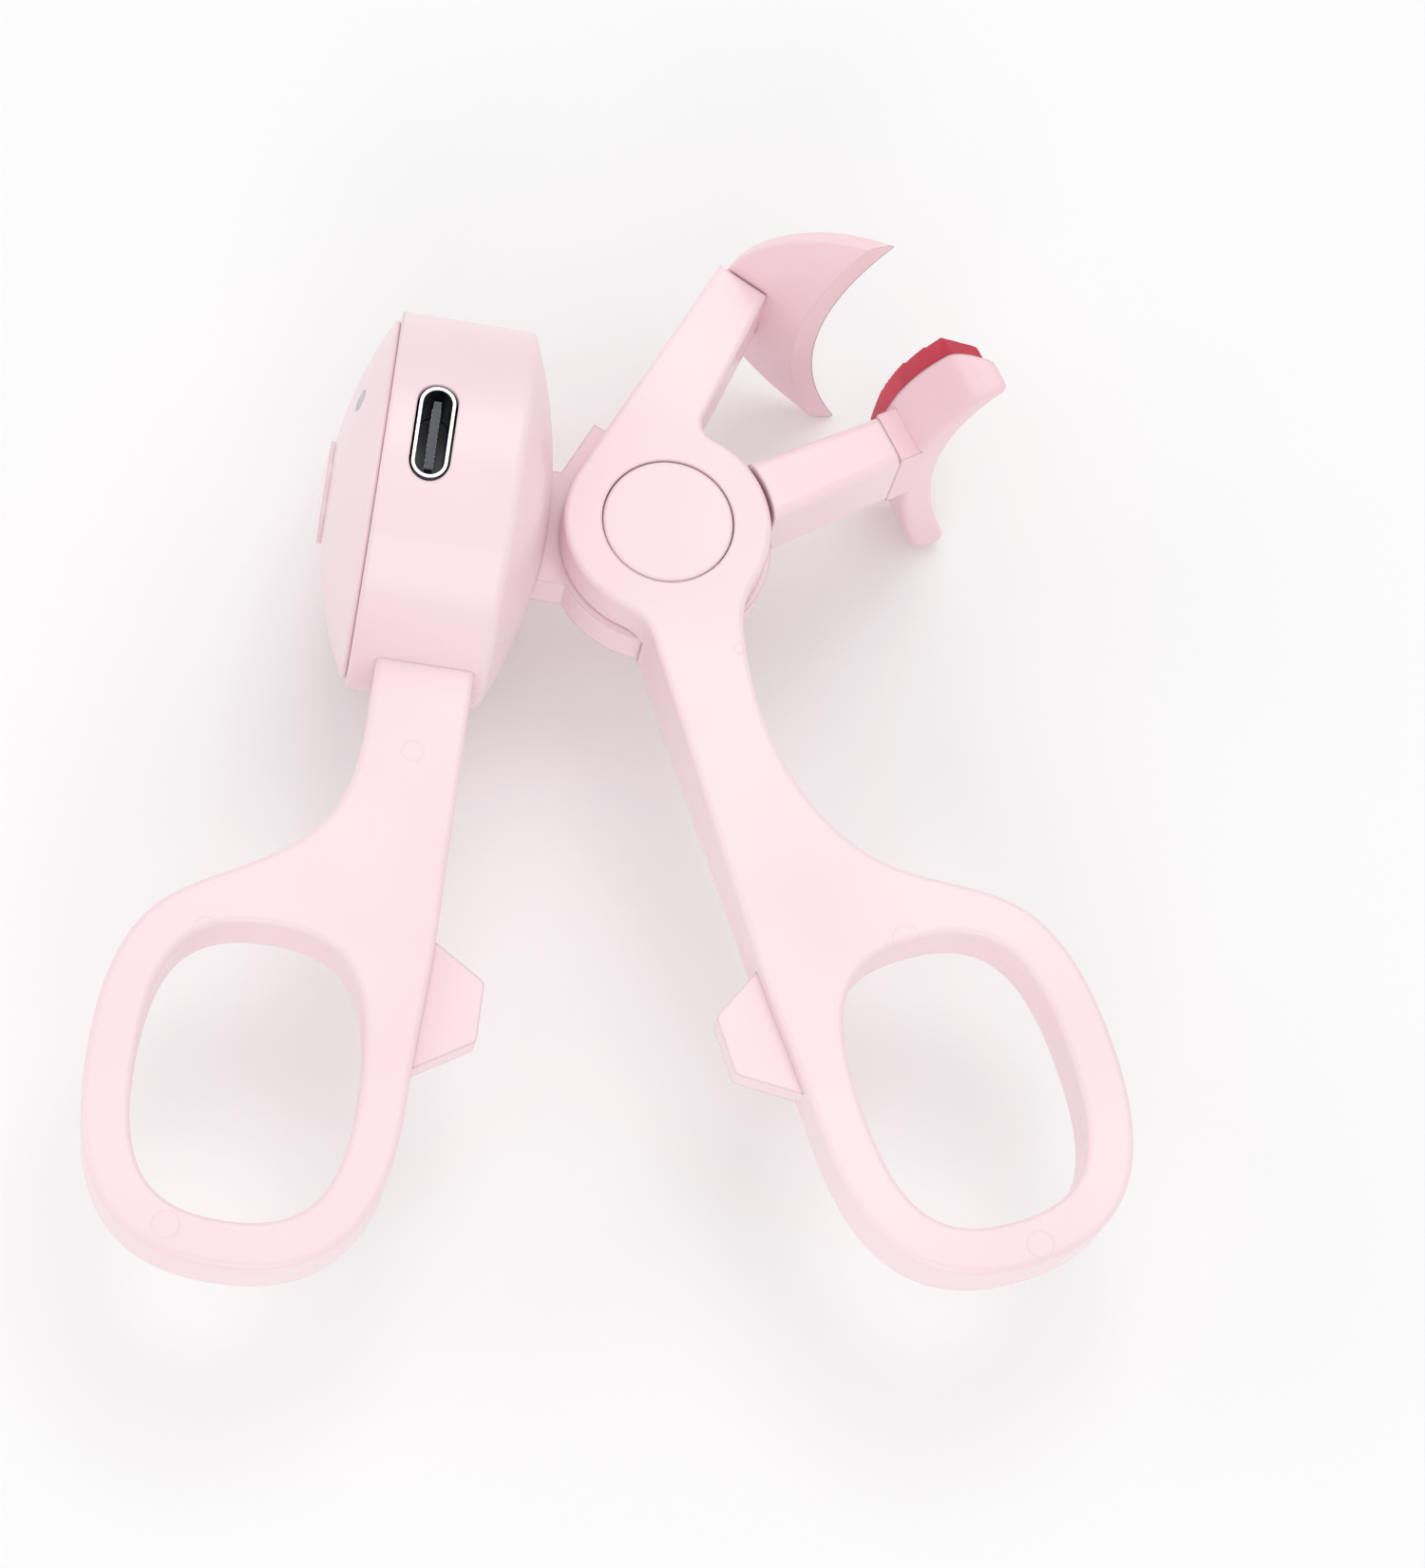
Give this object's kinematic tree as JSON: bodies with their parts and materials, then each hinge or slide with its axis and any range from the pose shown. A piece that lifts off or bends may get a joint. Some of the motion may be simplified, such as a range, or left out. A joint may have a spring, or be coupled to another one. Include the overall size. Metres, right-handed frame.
{
  "type": "heated eyelash curler",
  "caption": "Heated eyelash curler with crossed scissor levers, a disc-shaped battery housing with a USB-C port, and curved jaws that close on a red silicone pad.",
  "frame": {"origin": "on the pivot axis, in the flat rear face of the hub", "axes": "+Z along the pivot towards the capped front face; +Y along the rear handle, from its finger loop to the battery housing; +X from the battery housing towards the jaws"},
  "size_m": [0.0925, 0.1037, 0.0358],
  "materials": {
    "rear_lever": "glossy moulded pink",
    "housing_cover": "glossy moulded pink",
    "power_button": "glossy moulded pink",
    "indicator_lens": "frosted clear plastic light pipe",
    "indicator_led": "moulded LED package",
    "circuit_board": "green solder mask",
    "board_chips": "black component bodies",
    "board_screws": "zinc-plated steel",
    "tact_switch": "black switch body",
    "switch_plunger": "off-white plunger",
    "battery_pad": "black foam",
    "battery_cell": "laminated aluminium pouch",
    "battery_leads": "insulated wire",
    "usb_c_shell": "nickel-plated steel",
    "usb_c_tongue": "black moulded tongue",
    "heater_leads": "insulated wire",
    "lower_jaw": "satin moulded pink",
    "heating_strip": "etched foil heater",
    "temperature_sensor": "epoxy bead",
    "silicone_pad": "soft red silicone",
    "front_lever": "glossy moulded pink",
    "upper_jaw": "satin moulded pink",
    "pivot_cap": "glossy moulded pink",
    "pivot_screw": "zinc-plated steel",
    "pivot_washer": "stainless steel",
    "pivot_sleeve": "turned steel",
    "threaded_insert": "knurled brass",
    "torsion_spring": "spring steel"
  },
  "bodies": {
    "rear": {"rear_lever": "rear_lever", "housing_cover": "housing_cover", "indicator_lens": "indicator_lens", "indicator_led": "indicator_led", "circuit_board": "circuit_board", "board_chips": "board_chips", "board_screws": "board_screws", "tact_switch": "tact_switch", "battery_pad": "battery_pad", "battery_cell": "battery_cell", "battery_leads": "battery_leads", "usb_c_shell": "usb_c_shell", "usb_c_tongue": "usb_c_tongue", "heater_leads": "heater_leads", "lower_jaw": "lower_jaw", "heating_strip": "heating_strip", "temperature_sensor": "temperature_sensor", "silicone_pad": "silicone_pad", "pivot_screw": "pivot_screw", "pivot_washer": "pivot_washer", "pivot_sleeve": "pivot_sleeve", "threaded_insert": "threaded_insert", "torsion_spring": "torsion_spring"},
    "front": {"front_lever": "front_lever", "upper_jaw": "upper_jaw", "pivot_cap": "pivot_cap"},
    "button": {"power_button": "power_button", "switch_plunger": "switch_plunger"}
  },
  "joints": [
    {"name": "lever_hinge", "type": "hinge", "parent": "rear", "child": "front", "pos_m": [0, 0, 0], "axis": [0, 0, -1], "range_deg": [0, 21], "stiffness_Nm_per_rad": 0.06, "springref_deg": -45.84, "deforming": ["torsion_spring"]},
    {"name": "button_press", "type": "slide", "parent": "rear", "child": "button", "axis": [1, 0, 0], "range_m": [0, 0.0004], "stiffness_N_per_m": 1500, "springref_m": -0.0003}
  ]
}
